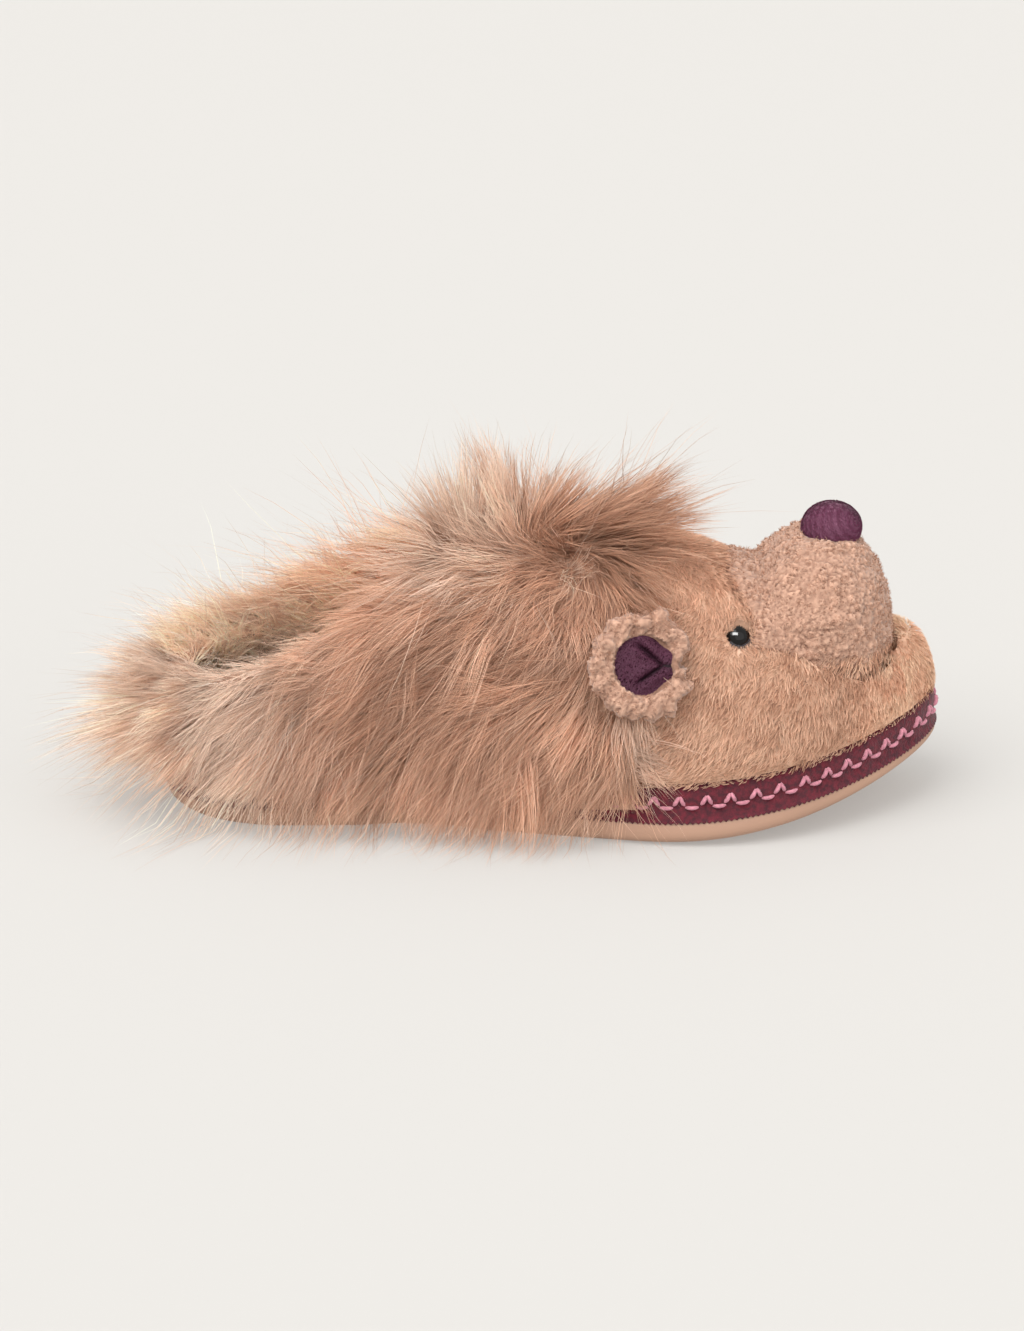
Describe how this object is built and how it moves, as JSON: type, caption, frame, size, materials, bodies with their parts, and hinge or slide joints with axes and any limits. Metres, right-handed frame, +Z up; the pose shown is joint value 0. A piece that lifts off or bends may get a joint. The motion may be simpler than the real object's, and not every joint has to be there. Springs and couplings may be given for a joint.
{
  "type": "animal slipper (lion), right foot",
  "caption": "Plush closed-toe slipper shaped as a lion: flat moulded sole, embroidered felt band, short-pile face with muzzle, nose, eyes and ears, deep fur mane round the heel.",
  "frame": {"origin": "on the floor under the centre of the heel seat, in the plane of the sole's flat underside", "axes": "+X towards the toe, +Y towards the inner (big toe) side of the right foot, +Z up from the floor"},
  "size_m": [0.2955, 0.1247, 0.1258],
  "materials": {
    "plush": "short combed pile",
    "fur": "long-pile fur",
    "sherpa": "curly pile",
    "velvet": "velvet",
    "felt": "felted wool with yarn embroidery",
    "sole_rubber": "smooth matt",
    "bead": "glossy black",
    "lining": "short pile"
  },
  "bodies": {
    "root": {"outsole": "sole_rubber", "insole": "lining", "felt_band": "felt", "upper": "plush", "mane": "fur", "muzzle": "sherpa", "nose": "velvet", "ear_outer_side": "sherpa", "ear_inner_side": "sherpa", "ear_velvet_outer_side": "velvet", "ear_velvet_inner_side": "velvet", "eye_outer_side": "bead", "eye_inner_side": "bead"}
  },
  "joints": []
}
